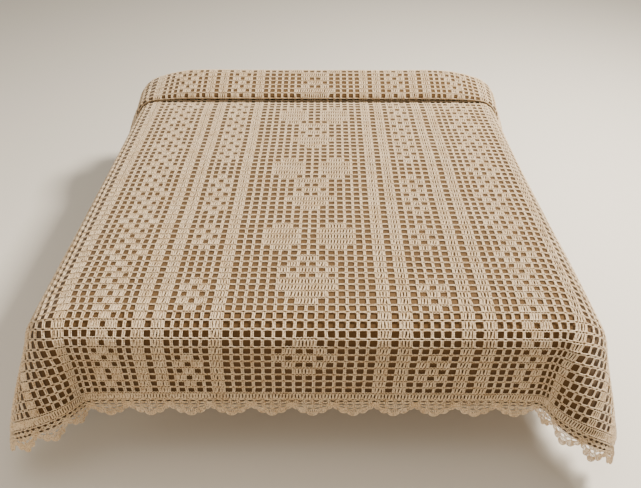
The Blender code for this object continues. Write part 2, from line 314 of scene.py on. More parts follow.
def makeLights():
    for name, lamp in lamps.items():
        light = bpy.data.lights.new(name, "AREA")
        light.energy = lamp["watts"]
        light.size = lamp["size"]
        light.color = linear(lamp["colour"])[:3]
        thing = newPiece(name, light)
        thing.location = Vector((bedMiddle.x, bedMiddle.y, 0.0)) + Vector(lamp["at"])
        aim = Vector((bedMiddle.x, bedMiddle.y, clothTop)) - thing.location
        thing.rotation_euler = aim.to_track_quat("-Z", "Y").to_euler()
    world = bpy.data.worlds.new("studio")
    world.use_nodes = True
    world.node_tree.nodes["Background"].inputs["Color"].default_value = linear(skyColour)
    world.node_tree.nodes["Background"].inputs["Strength"].default_value = skyStrength
    bpy.context.scene.world = world


def makeFloor(size=14.0):
    mesh = bpy.data.meshes.new("floor")
    shape = bmesh.new()
    bmesh.ops.create_grid(shape, x_segments=1, y_segments=1, size=size)
    shape.to_mesh(mesh)
    shape.free()
    floor = newPiece("floor", mesh)
    material = newMaterial("pale studio floor", "#D9D6D0", 0.8)[0]
    mesh.materials.append(material)


cottonYarn = dict(
    colour="#EBD9BC",
    patchAndGrooveShade="#C9A876",           # darker patches of the yarn's own tone, and painted shade in the ply grooves
    roughness=0.86,
    creviceShade="#8E6738",            # painted shade between the plies and the loops
    plyPitch=0.0085,           # one turn of the plies; the real 4 mm would be too fine to show
    patchSize=0.055,
    patchFrom=(0.35, 0.7),     # the part of the patches that turns from light to dark
    patchMost=0.45,
    loopSize=0.0042,           # the unevenness of single loops, which sets where the painted shade in the hollows falls
    hollowShadeFrom=(0.44, 0.7),    # the part of it that turns to painted shade
    hollowShadeMost=0.8,
    fuzzSize=1 / 900,          # 1.1 mm: the fibre ends that stand off the yarn
    relief=0.0008,
    sheen=0.25,
)


def cottonYarnFinish():
    # undyed mercerised cotton, plied and crocheted: matt, with the slant of its plies, painted shade between
    # them and between its loops, and a soft fuzz
    material, tree, shader = newMaterial("undyed plied cotton yarn", cottonYarn["colour"],
                                         cottonYarn["roughness"])
    place = addNode(tree, "ShaderNodeTexCoord").outputs["Object"]
    ply = addNode(tree, "ShaderNodeAttribute", attribute_name="ply").outputs["Vector"]
    parts = addNode(tree, "ShaderNodeSeparateXYZ", {0: ply})
    angle = addNode(tree, "ShaderNodeMath", {0: parts.outputs["Y"], 1: parts.outputs["X"]},
                    operation="ARCTAN2")
    turns = addNode(tree, "ShaderNodeMath", {0: parts.outputs["Z"], 1: 2 * math.pi / cottonYarn["plyPitch"],
                                             2: angle}, operation="MULTIPLY_ADD")
    doubled = addNode(tree, "ShaderNodeMath", {0: turns, 1: 2.0}, operation="MULTIPLY")
    groove = addNode(tree, "ShaderNodeMath", {0: doubled}, operation="SINE")
    patches = addNode(tree, "ShaderNodeTexNoise", {"Vector": place, "Scale": 1 / cottonYarn["patchSize"],
                                                   "Detail": 3.0})
    fuzz = addNode(tree, "ShaderNodeTexNoise", {"Vector": place, "Scale": 1 / cottonYarn["fuzzSize"],
                                                "Detail": 2.0})
    low, high = cottonYarn["patchFrom"]
    tone = addNode(tree, "ShaderNodeMapRange", {"Value": patches.outputs["Fac"], "From Min": low,
                                                "From Max": high, "To Max": cottonYarn["patchMost"]})
    # random patches of the yarn's own tone, darkened further by painted shade along the ply grooves
    patchAndGrooveMask = addNode(tree, "ShaderNodeMath", {0: groove, 1: -0.10, 2: tone},
                   operation="MULTIPLY_ADD", use_clamp=True)
    colour = addNode(tree, "ShaderNodeMix", {0: patchAndGrooveMask, 6: linear(cottonYarn["colour"]),
                                             7: linear(cottonYarn["patchAndGrooveShade"])}, data_type="RGBA")
    loops = addNode(tree, "ShaderNodeTexNoise", {"Vector": place, "Scale": 1 / cottonYarn["loopSize"],
                                                 "Detail": 1.0})
    uneven = addNode(tree, "ShaderNodeMath", {0: groove, 1: -0.07, 2: loops.outputs["Fac"]},
                     operation="MULTIPLY_ADD")
    # painted shade in the hollows: darkest along the ply grooves and in random spots the size of a loop
    low, high = cottonYarn["hollowShadeFrom"]
    hollowShadeMask = addNode(tree, "ShaderNodeMapRange", {"Value": uneven, "From Min": low, "From Max": high,
                                                  "To Max": cottonYarn["hollowShadeMost"]})
    hollowShaded = addNode(tree, "ShaderNodeMix", {0: hollowShadeMask, 6: colour.outputs[2],
                                               7: linear(cottonYarn["creviceShade"])}, data_type="RGBA")
    tree.links.new(hollowShaded.outputs[2], shader.inputs["Base Color"])
    height = addNode(tree, "ShaderNodeMath", {0: fuzz.outputs["Fac"], 1: 0.5, 2: groove},
                     operation="MULTIPLY_ADD")
    bump = addNode(tree, "ShaderNodeBump", {"Height": height, "Strength": 0.6,
                                            "Distance": cottonYarn["relief"]})
    tree.links.new(bump.outputs[0], shader.inputs["Normal"])
    shader.inputs["Sheen Weight"].default_value = cottonYarn["sheen"]
    shader.inputs["Sheen Roughness"].default_value = 0.5
    return material


net = dict(
    strandRadius=0.00185,      # half of one of the two strands that a stitch shows
    postStout=0.32,            # how much thicker than the strand a treble is between open squares
    postSpread=0.0029,         # its two strands at its ends, from its middle line
    postWaist=0.06,            # how much they close up halfway, as a share
    filledStout=-0.18,         # the same three in a filled square, where slits show between the trebles
    filledSpread=0.0020,
    filledWaist=0.27,
    filledStoutHanging=0.22,   # its strand where the net hangs, where the trebles stand closer
    plainStout=0.75,           # and in the plain rows
    postEnd=0.0032,            # a treble stops this short of the row lines
    barSpread=0.0020,          # a row chain's two strands, from the row line, where it is closed
    barSlit=0.0031,            # and further apart round each treble's head
    depth=0.0005,              # how far a strand comes forward over its partner
    proud=0.0008,              # how far a treble's left strand stands above its right one, halved
    lean=0.12 * cell,          # a treble's slant, one way in one row and the other way in the next
    unevenLean=0.045 * cell,
    unevenPlace=0.012 * cell,  # how far a treble in a filled square stands from its place
    wobble=0.055 * cell,       # unevenness of the hand, across the cloth and off it
    wobbleSize=0.065,
    lift=0.0012,
    unevenStrand=0.07,         # how much thicker or thinner the strand gets, as a share
    sides=4,                   # of a strand's section
    rows=87,                   # from the foot hem to the head edge
    tightRows=0.85,            # how many rows the tighter ones near the foot make up
    plainRows=(61, 74),        # hidden rows folded under the band, worked open and in one strand
    slideNear=0.28 * cell,     # how far the middle slides to the left near the foot
    slideHanging=0.28 * cell,  # and further where it hangs
    slideMiddle=(-2, 8, 14),   # its centre, its half width and how far it fades, in cells
    # how far the net's two sides slide across, in cells, at cells from the foot edge
    leftSlides=[
        (-14.0, -0.2), (-3.0, 0.25), (-0.5, 0.35), (0.5, 0.15), (2.0, -0.15), (10.0, -0.1), (20.0, 0.0),
    ],
    rightSlides=[(-8.0, 0.0), (0.0, 0.15), (3.0, 0.42), (32.0, 0.3), (46.0, 0.0)],
    # rows that stand a little further from the foot: cells from the foot edge, how far, over how many cells
    easedRows=[(3.0, 0.22 * cell, 2.6), (-5.5, 0.08 * cell, 2.0)],
    bandSamples=130,           # how finely the guide follows the band
    seed=4,
)

# charts: # a filled square, . an open one, the row nearest the head first
leaves = [
    "....##....##...",
    "...####..####..",
    "...####..####..",
    "...####..####..",
    "....##....##...",
]
bloom = [
    "......####.....",
    "......#..#.....",
    ".......##......",
    "......#..#.....",
    ".....######....",
    "......####.....",
    ".......##......",
]
nearBloom = [
    ".......##......",
    "......#..#.....",
    ".....#.##.#....",
    "......#..#.....",
    ".....######....",
    ".....######....",
    "......####.....",
    ".......##......",
]
ring = [
    ".......##......",
    "......#..#.....",
    ".....#.##.#....",
    "......#..#.....",
    ".......##......",
]
# first row of each motif down the centre panel, counted from the tuck towards the foot
centreMotifs = [
    (-26, leaves), (-21, bloom), (-11, leaves), (-6, bloom),
    (4, leaves), (9, bloom), (19, leaves), (24, bloom),
    (34, leaves), (40, nearBloom), (52, ring),
]
lattice = ["...#.#...", "....#....", "...#.#...", "..#...#..", "...#.#...", "....#...."]
chainRows = [(58, 54), (48, 44), (38, 34), (31, 23), (19, -26)]    # stretches of the narrow panels' chain
hemRow = 60                    # the row at the foot hem, counted the same way


def centreChart(row, column):
    for first, motif in centreMotifs:
        if first <= row < first + len(motif):
            return motif[row - first][column]
    return "."


def chainChart(row, column):
    for last, first in chainRows:
        if first <= row <= last:
            return ("..#..", ".#.#.")[(last - row) % 2][column]
    return "."


def latticeChart(row, column):
    if row > 58:
        return "."
    if row > 43:
        return lattice[(row + (row > 56)) % 2][column]
    return lattice[row % len(lattice)][column]


def plainChart(squares):
    return lambda row, column: squares[column]


# panels from the left hem to the right one: width in cells, number of squares across, chart
panels = [
    (10.85, 11, plainChart("#....#.....")),
    (1.0, 1, plainChart("#")),
    (7.12, 8, latticeChart),
    (3.0, 3, plainChart("#.#")),
    (4.65, 5, chainChart),
    (1.0, 1, plainChart("#")),
    (15.105, 15, centreChart),
    (3.0, 3, plainChart("#.#")),
    (4.75, 5, chainChart),
    (3.0, 3, plainChart("#.#")),
    (7.785, 9, latticeChart),
    (1.0, 1, plainChart("#")),
    (9.74, 10, plainChart(".....#...#")),
]
# rows from the foot hem, first and the one after the last
netPieces = {
    "net_foot_drop": (0, 17),
    "net_top_near": (17, 33),
    "net_top_middle": (33, 47),
    "net_top_far": (47, 63),
    "net_turned_back": (63, 87),
}


def planSquares():
    # lines of the net across the cloth, and the chart and column of each square between them
    across = [-drapeSizes["halfWidth"]]
    squares = []
    widthInAll = sum(width for width, count, chart in panels) * cell
    for width, count, chart in panels:
        step = width * cell / count * 2 * drapeSizes["halfWidth"] / widthInAll
        for column in range(count):
            across.append(across[-1] + step)
            squares.append((chart, column))
    return np.array(across), squares


def rowLine(row):
    # where a row of the net starts, the rows nearest the foot being worked a little tighter
    fromFoot = min(row, hemRow) / hemRow
    v = row * rowHeight - drapeSizes["footHem"] - net["tightRows"] * rowHeight * math.sin(math.pi * fromFoot)
    return v + sum(far * math.exp(-((v / cell - at) / wide) ** 2) for at, far, wide in net["easedRows"])


columnLines, squares = planSquares()
rowHeight = (headEdge + drapeSizes["footHem"]) / net["rows"]


def slid(u, v):
    # the middle of the net lies a little to the left near the foot, and more where it hangs; its two sides
    # stray by less than half a square
    near = smoothStep((drapeSizes["tuck"] - v) / drapeSizes["tuck"])
    hanging = smoothStep(-v / drapeSizes["footHem"])
    centre, half, fade = net["slideMiddle"]
    middle = 1 - smoothStep((np.abs(u / cell - centre) - half) / fade)
    inside = smoothStep((drapeSizes["halfWidth"] - np.abs(u)) / (9 * cell))
    left = smoothStep((-u / cell - 13) / 13) * inside * np.interp(v / cell, *zip(*net["leftSlides"]))
    right = smoothStep((u / cell - 1) / 22) * inside * np.interp(v / cell, *zip(*net["rightSlides"]))
    return u - middle * (net["slideNear"] * near + net["slideHanging"] * hanging) + (left + right) * cell


def isFilled(row, square):
    # row from the foot hem
    fromTuck = hemRow - row
    if row in (0, net["rows"] - 1):
        return True
    if net["plainRows"][0] <= row < net["plainRows"][1]:
        return False
    chart, column = squares[square]
    return chart(fromTuck, column) == "#"


def setFacts(mesh, names, facts):
    # one float attribute of the points for each name, from a list with a row for each point
    for name, column in zip(names, np.array(facts, dtype=np.float32).T):
        mesh.attributes.new(name, "FLOAT", "POINT").data.foreach_set("value", np.ascontiguousarray(column))


def chainPlaces(row):
    # places along a row line, in squares, and how far its chain stands open there: at each treble's head
    places = [(0.0, 1.0)]
    if net["plainRows"][0] <= row < net["plainRows"][1]:
        return places + [(square + share, 0.0) for square in range(len(squares)) for share in (0.5, 1.0)]
    for square in range(len(squares)):
        worked = isFilled(row, square) or (row > 0 and isFilled(row - 1, square))
        if worked:
            places += [(square + 1 / 6, 0.0), (square + 1 / 3, 0.8), (square + 1 / 2, 0.0)]
            places += [(square + 2 / 3, 0.8), (square + 5 / 6, 0.0)]
        else:
            places += [(square + 0.25, 0.0), (square + 0.75, 0.0)]
        places.append((square + 1.0, 1.0))
    return places


def stitchSites(name, firstRow, lastRow):
    # where the stitches of some rows go, flat: a loose point under each treble, a line for each chain
    points, edges, facts = [], [], []
    luck = np.random.default_rng(net["seed"] + firstRow)
    for row in range(firstRow, lastRow):
        v = rowLine(row)
        foot = v + net["postEnd"]
        tall = rowLine(row + 1) - v - 2 * net["postEnd"]
        plain = float(net["plainRows"][0] <= row < net["plainRows"][1])
        slant = net["lean"] * (1.0 if row % 2 else 0.4)
        bothStouts = (net["filledStoutHanging"], net["filledStout"])
        filledStout = float(np.interp(v / cell, (-2.0, 1.0), bothStouts))
        lines = slid(columnLines, v)
        for line, u in enumerate(lines):
            beside = [isFilled(row, square) for square in (line - 1, line) if 0 <= square < len(squares)]
            own = slant * (1.0 if all(beside) else 0.25) + luck.normal(0, net["unevenLean"])
            stout = net["plainStout"] if plain else filledStout if all(beside) else net["postStout"]
            points.append((u, foot, 0.0))
            facts.append((0.0, 0.0, own, tall, plain, float(all(beside)), stout))
            if line < len(squares) and isFilled(row, line):
                for share in (1 / 3, 2 / 3):
                    place = u + share * (lines[line + 1] - u) + luck.normal(0, net["unevenPlace"])
                    points.append((place, foot, 0.0))
                    own = slant + luck.normal(0, net["unevenLean"])
                    facts.append((0.0, 0.0, own, tall, plain, 1.0, filledStout))
    for row in range(firstRow, lastRow + (lastRow == net["rows"])):
        v = rowLine(row)
        plain = float(net["plainRows"][0] <= row < net["plainRows"][1])
        start = len(points)
        places, openness = zip(*chainPlaces(row))
        across = np.interp(places, np.arange(len(columnLines)), slid(columnLines, v))
        for u, openHere in zip(across, openness):
            points.append((u, v, 0.0))
            facts.append((1.0, openHere, 0.0, 0.0, plain, 0.0, plain * net["plainStout"]))
        edges += [(i, i + 1) for i in range(start, len(points) - 1)]
    mesh = bpy.data.meshes.new(name)
    mesh.from_pydata(points, edges, [])
    setFacts(mesh, ("chain", "open", "slant", "tall", "plain", "filled", "stout"), facts)
    return mesh


def gridMesh(name, points):
    rows, columns = points.shape[:2]
    index = np.arange(rows * columns).reshape(rows, columns)
    corners = np.stack([index[:-1, :-1], index[:-1, 1:], index[1:, 1:], index[1:, :-1]], axis=-1)
    mesh = bpy.data.meshes.new(name)
    mesh.from_pydata(points.reshape(-1, 3).tolist(), [], corners.reshape(-1, 4).tolist())
    return mesh


def makeGuide(name, place, across, along, facing=1):
    # a fine smooth sheet where flat places can be looked up: its points, their normals and their flat places
    flatU, flatV = np.meshgrid(across, along)
    points = place(flatU, flatV)
    normals = facing * surfaceNormals(place, flatU, flatV)
    mesh = gridMesh(name, points)
    spans = (across[0], along[0], across[-1] - across[0], along[-1] - along[0])
    share = np.stack([(flatU - spans[0]) / spans[2], (flatV - spans[1]) / spans[3], 0 * flatU], axis=-1)
    for attribute, values in (("surfaceNormal", normals), ("flatShare", share)):
        layer = mesh.attributes.new(attribute, "FLOAT_VECTOR", "POINT")
        layer.data.foreach_set("vector", values.reshape(-1).astype(np.float32))
    return newPiece(name, mesh), spans


def clothPlace(u, v, step=0.002):
    # the cloth, carried straight on a little past its head edge
    past = np.maximum(v - headEdge, 0.0)
    edge = drape(u, np.minimum(v, headEdge))
    before = drape(u, np.minimum(v, headEdge) - step)
    return edge + (edge - before) / step * past[..., None]


def makeClothGuide():
    margin = 0.5 * cell
    across = np.arange(-drapeSizes["halfWidth"] - margin, drapeSizes["halfWidth"] + margin + 1e-6, cell / 2)
    lying = np.arange(-drapeSizes["footHem"] - margin, drapeSizes["tuck"] - 1e-6, cell / 2)
    turned = np.linspace(drapeSizes["tuck"], headEdge + margin, net["bandSamples"])
    return makeGuide("cloth_guide", clothPlace, across, np.concatenate([lying, turned]))


def newYarnTree(name, sizes):
    # a geometry tree with a guide, its flat extent and named sizes as inputs
    tree = bpy.data.node_groups.new(name, "GeometryNodeTree")
    addInput(tree, "Geometry", "NodeSocketGeometry")
    addInput(tree, "Guide", "NodeSocketObject")
    for extent in ("Start Across", "Start Along", "Width", "Length"):
        addInput(tree, extent, "NodeSocketFloat", 0.0)
    for size, value in sizes.items():
        addInput(tree, size, "NodeSocketFloat", value)
    addInput(tree, "Seed", "NodeSocketFloat", 0.0)
    addInput(tree, "Yarn", "NodeSocketMaterial")
    tree.interface.new_socket(name="Geometry", in_out="OUTPUT", socket_type="NodeSocketGeometry")
    return tree, addNode(tree, "NodeGroupInput").outputs


def layAndSpin(tree, sizes, strands):
    # makes flat strands round yarn with the unevenness of the hand, and moves it all onto the guide
    place = addNode(tree, "GeometryNodeInputPosition")
    grain = addNode(tree, "ShaderNodeVectorMath", {0: place, 3: sizes["Wobble Grain"]}, operation="SCALE")
    apart = addNode(tree, "ShaderNodeCombineXYZ", {"Z": sizes["Seed"]})
    where = addNode(tree, "ShaderNodeVectorMath", {0: grain, 1: apart}, operation="ADD")
    hand = addNode(tree, "ShaderNodeTexNoise", {"Vector": where, "Scale": 1.0, "Detail": 1.0})
    about = addNode(tree, "ShaderNodeVectorMath", {0: hand.outputs["Color"], 1: (0.5, 0.5, 0.35)},
                    operation="SUBTRACT")
    amount = addNode(tree, "ShaderNodeCombineXYZ", {"X": sizes["Wobble"], "Y": sizes["Wobble"],
                                                    "Z": sizes["Lift"]})
    moved = addNode(tree, "ShaderNodeVectorMath", {0: about, 1: amount},
                    operation="MULTIPLY")
    worked = addNode(tree, "GeometryNodeSetPosition", {"Geometry": strands, "Offset": moved})
    along = addNode(tree, "GeometryNodeSplineParameter").outputs["Length"]
    measured = addNode(tree, "GeometryNodeStoreNamedAttribute",
                       {"Geometry": worked, "Name": "length", "Value": along},
                       data_type="FLOAT", domain="POINT")
    ringCurve = addNode(tree, "GeometryNodeCurvePrimitiveCircle", {"Resolution": net["sides"],
                                                                   "Radius": sizes["Strand Radius"]})
    around = addNode(tree, "ShaderNodeVectorMath", {0: place}, operation="NORMALIZE")
    profile = addNode(tree, "GeometryNodeStoreNamedAttribute",
                      {"Geometry": ringCurve, "Name": "around", "Value": around},
                      data_type="FLOAT_VECTOR", domain="POINT")
    stout = addNode(tree, "GeometryNodeInputNamedAttribute", {"Name": "stout"}, data_type="FLOAT")
    uneven = addNode(tree, "ShaderNodeMapRange", {"Value": hand.outputs["Fac"], "From Min": 0.3,
                                                  "From Max": 0.7, "To Min": 1 - net["unevenStrand"],
                                                  "To Max": 1 + net["unevenStrand"]})
    thick = addNode(tree, "ShaderNodeMath", {0: stout, 1: uneven}, operation="ADD")
    yarn = addNode(tree, "GeometryNodeCurveToMesh", {"Curve": measured,
                                                     "Profile Curve": profile,
                                                     "Scale": thick, "Fill Caps": True})
    ringAngle = addNode(tree, "GeometryNodeInputNamedAttribute", {"Name": "around"}, data_type="FLOAT_VECTOR")
    length = addNode(tree, "GeometryNodeInputNamedAttribute", {"Name": "length"}, data_type="FLOAT")
    angle = addNode(tree, "ShaderNodeSeparateXYZ", {0: ringAngle})
    ply = addNode(tree, "ShaderNodeCombineXYZ", {"X": angle.outputs["X"], "Y": angle.outputs["Y"],
                                                 "Z": length})
    plied = addNode(tree, "GeometryNodeStoreNamedAttribute",
                    {"Geometry": yarn, "Name": "ply", "Value": ply},
                    data_type="FLOAT_VECTOR", domain="POINT")

    # the flat place of each point of the yarn, as a share of the guide's extent, and its height off it
    start = addNode(tree, "ShaderNodeCombineXYZ", {"X": sizes["Start Across"], "Y": sizes["Start Along"]})
    extent = addNode(tree, "ShaderNodeCombineXYZ", {"X": sizes["Width"], "Y": sizes["Length"], "Z": 1.0})
    fromStart = addNode(tree, "ShaderNodeVectorMath", {0: place, 1: start}, operation="SUBTRACT")
    share = addNode(tree, "ShaderNodeVectorMath", {0: fromStart, 1: extent},
                    operation="DIVIDE")
    share = addNode(tree, "ShaderNodeVectorMath", {0: share, 1: (1.0, 1.0, 0.0)},
                    operation="MULTIPLY")
    told = addNode(tree, "GeometryNodeStoreNamedAttribute",
                   {"Geometry": plied, "Name": "flatShare", "Value": share},
                   data_type="FLOAT_VECTOR", domain="POINT")
    onGuide = addNode(tree, "GeometryNodeInputNamedAttribute", {"Name": "flatShare"},
                      data_type="FLOAT_VECTOR")
    mapped = addNode(tree, "GeometryNodeStoreNamedAttribute",
                     {"Geometry": told, "Name": "OFBake", "Value": onGuide},
                     data_type="FLOAT2", domain="CORNER")

    guide = addNode(tree, "GeometryNodeObjectInfo", {"Object": sizes["Guide"]}).outputs["Geometry"]
    surface = addNode(tree, "GeometryNodeInputNamedAttribute", {"Name": "surfaceNormal"},
                      data_type="FLOAT_VECTOR")
    found, outward = [addNode(tree, "GeometryNodeSampleUVSurface",
                              {"Mesh": guide, "Value": value, "UV Map": onGuide, "Sample UV": onGuide},
                              data_type="FLOAT_VECTOR") for value in (place, surface)]
    height = addNode(tree, "ShaderNodeSeparateXYZ", {0: place})
    off = addNode(tree, "ShaderNodeVectorMath", {0: outward, 3: height.outputs["Z"]},
                  operation="SCALE")
    laid = addNode(tree, "GeometryNodeSetPosition", {"Geometry": mapped,
                                                     "Position": found, "Offset": off})
    smooth = addNode(tree, "GeometryNodeSetShadeSmooth", {"Geometry": laid})
    whole = addNode(tree, "GeometryNodeRealizeInstances", {"Geometry": smooth})
    dyed = addNode(tree, "GeometryNodeSetMaterial", {"Geometry": whole, "Material": sizes["Yarn"]})
    addNode(tree, "NodeGroupOutput", {"Geometry": dyed})


def netTree():
    # trebles on the loose points and two-strand chains along the lines
    tree, sizes = newYarnTree("filet net", {
        "Strand Radius": net["strandRadius"], "Wobble": net["wobble"],
        "Wobble Grain": 1 / net["wobbleSize"], "Lift": net["lift"],
        "Post Spread": net["postSpread"], "Post Waist": net["postWaist"],
        "Filled Spread": net["filledSpread"], "Filled Waist": net["filledWaist"],
        "Bar Spread": net["barSpread"], "Bar Slit": net["barSlit"],
        "Depth": net["depth"], "Proud": net["proud"],
    })

    told = {size.name: size for size in sizes}
    for name in ("chain", "open", "slant", "tall", "plain", "filled", "strand", "rise"):
        told[name] = addNode(tree, "GeometryNodeInputNamedAttribute", {"Name": name}, data_type="FLOAT")
    # what is worked out from these and from the sizes, in order: name, operation, values
    for name, operation, *values in [
        ("paired", "SUBTRACT", 1.0, "plain"),
        ("side", "MULTIPLY", "strand", "paired"),                  # the strand's side, where there are two
        ("spare", "MULTIPLY", "plain", "strand"),
        ("left out", "LESS_THAN", "spare", -0.5),                  # and the one left out where there aren't
        ("turn", "MULTIPLY", "rise", 2 * math.pi),                 # how a treble's strands close up halfway
        ("wave", "COSINE", "turn"),
        ("closing", "SUBTRACT", 1.0, "wave"),
        ("post closing", "MULTIPLY", "closing", "Post Waist"),
        ("post share", "SUBTRACT", 1.0, "post closing"),
        ("post", "MULTIPLY", "post share", "Post Spread"),
        ("filled closing", "MULTIPLY", "closing", "Filled Waist"),
        ("filled share", "SUBTRACT", 1.0, "filled closing"),
        ("filled post", "MULTIPLY", "filled share", "Filled Spread"),
        ("upper", "SUBTRACT", "rise", 0.5),                        # how it leans
        ("leaning", "MULTIPLY", "upper", "slant"),
        ("half turn", "MULTIPLY", "rise", math.pi),                # how one strand comes over the other
        ("half wave", "COSINE", "half turn"),
        ("swap", "MULTIPLY", "half wave", "Depth"),
        ("over", "SUBTRACT", "swap", "Proud"),
        ("relief", "MULTIPLY", "over", "side"),
        ("opening", "MULTIPLY_ADD", "open", "Bar Slit", "Bar Spread"),
        ("apart", "MULTIPLY", "opening", "side"),                  # how far a chain's strands stand apart
    ]:
        given = {i: told.get(value, value) for i, value in enumerate(values)}
        told[name] = addNode(tree, "ShaderNodeMath", given, operation=operation)

    kinds = addNode(tree, "GeometryNodeSeparateGeometry", {"Geometry": sizes["Geometry"],
                                                           "Selection": told["chain"]})
    place = addNode(tree, "GeometryNodeInputPosition")

    # a treble: two strands up from one row line to the next, closer halfway
    line = addNode(tree, "GeometryNodeCurvePrimitiveLine", {"Start": (0, 0, 0), "End": (0, 1, 0)})
    line = addNode(tree, "GeometryNodeResampleCurve", {"Curve": line, "Count": 3})
    upward = addNode(tree, "ShaderNodeSeparateXYZ", {0: place})
    line = addNode(tree, "GeometryNodeStoreNamedAttribute",
                   {"Geometry": line, "Name": "rise", "Value": upward.outputs["Y"]},
                   data_type="FLOAT", domain="POINT")
    chain = addNode(tree, "GeometryNodeMeshToCurve", {"Mesh": kinds.outputs["Selection"]})
    pairs = []
    for single in (line, chain):
        both = addNode(tree, "GeometryNodeJoinGeometry")
        for hand in (-1.0, 1.0):
            sided = addNode(tree, "GeometryNodeStoreNamedAttribute",
                            {"Geometry": single, "Name": "strand", "Value": hand},
                            data_type="FLOAT", domain="POINT")
            tree.links.new(sided.outputs[0], both.inputs[0])
        pairs.append(both)
    tall = addNode(tree, "ShaderNodeCombineXYZ", {"X": 1.0, "Y": told["tall"], "Z": 1.0})
    trebles = addNode(tree, "GeometryNodeInstanceOnPoints", {"Points": kinds.outputs["Inverted"],
                                                             "Instance": pairs[0],
                                                             "Scale": tall})
    trebles = addNode(tree, "GeometryNodeRealizeInstances", {"Geometry": trebles})
    spread = addNode(tree, "ShaderNodeMapRange", {"Value": told["filled"], "To Min": told["post"],
                                                  "To Max": told["filled post"]})
    aside = addNode(tree, "ShaderNodeMath", {0: told["side"], 1: spread, 2: told["leaning"]},
                    operation="MULTIPLY_ADD")
    offset = addNode(tree, "ShaderNodeCombineXYZ", {"X": aside, "Z": told["relief"]})
    trebles = addNode(tree, "GeometryNodeSetPosition", {"Geometry": trebles,
                                                        "Offset": offset})

    # a chain: its strands stand apart round each treble's head and close up between
    offset = addNode(tree, "ShaderNodeCombineXYZ", {"Y": told["apart"], "Z": sizes["Depth"]})
    chains = addNode(tree, "GeometryNodeSetPosition", {"Geometry": pairs[1],
                                                       "Offset": offset})

    strands = addNode(tree, "GeometryNodeJoinGeometry")
    for part in (trebles, chains):
        tree.links.new(part.outputs[0], strands.inputs[0])
    strands = addNode(tree, "GeometryNodeDeleteGeometry", {"Geometry": strands,
                                                           "Selection": told["left out"]}, domain="CURVE")
    layAndSpin(tree, sizes, strands)
    return tree


def fitBakeMap(mesh, rows=1, margin=0.01):
    # spreads the flat places over the whole map; a long strip is cut into rows, one above the other
    layer = mesh.uv_layers["OFBake"].data
    flat = np.empty(len(layer) * 2, dtype=np.float32)
    layer.foreach_get("uv", flat)
    flat = flat.reshape(-1, 4, 2)
    low = flat.min(axis=(0, 1))
    flat = (flat - low) / (flat.max(axis=(0, 1)) - low)
    row = np.clip(np.floor(flat[..., 0].mean(axis=1, keepdims=True) * rows), 0, rows - 1)
    flat[..., 0] = np.clip(margin + (1 - 2 * margin) * (flat[..., 0] * rows - row), 0.0, 1.0)
    flat[..., 1] = (row + 2 * margin + (1 - 4 * margin) * flat[..., 1]) / rows
    layer.foreach_set("uv", flat.reshape(-1))


def workTree(name, sites, tree, guide, spans, material, seed=0.0, bakeRows=1):
    # gives the sites to the tree, sets its inputs by identifier, and keeps the result as a plain mesh
    source = newPiece(name + "_sites", sites)
    work = source.modifiers.new("stitches", "NODES")
    work.node_group = tree
    given = {"Guide": guide, "Yarn": material, "Seed": seed, "Start Across": spans[0],
             "Start Along": spans[1], "Width": spans[2], "Length": spans[3]}
    for socket in tree.interface.items_tree:
        if socket.in_out == "INPUT" and socket.name in given:
            work[socket.identifier] = given[socket.name]
    evaluated = source.evaluated_get(bpy.context.evaluated_depsgraph_get())
    mesh = bpy.data.meshes.new_from_object(evaluated)
    mesh.name = name
    for spent in ("flatShare", "length", "around", "strand", "rise", "open", "chain", "slant", "tall",
                  "plain", "filled", "stout"):
        if spent in mesh.attributes:
            mesh.attributes.remove(mesh.attributes[spent])
    fitBakeMap(mesh, bakeRows)
    bpy.data.objects.remove(source)
    return newPiece(name, mesh)


def makeNet(material):
    tree = netTree()
    guide, spans = makeClothGuide()
    pieces = []
    for name, (firstRow, lastRow) in netPieces.items():
        sites = stitchSites(name, firstRow, lastRow)
        piece = workTree(name, sites, tree, guide, spans, material, net["seed"])
        pieces.append(piece)
        print(name, len(piece.data.polygons), "faces")
    bpy.data.objects.remove(guide)
    return pieces


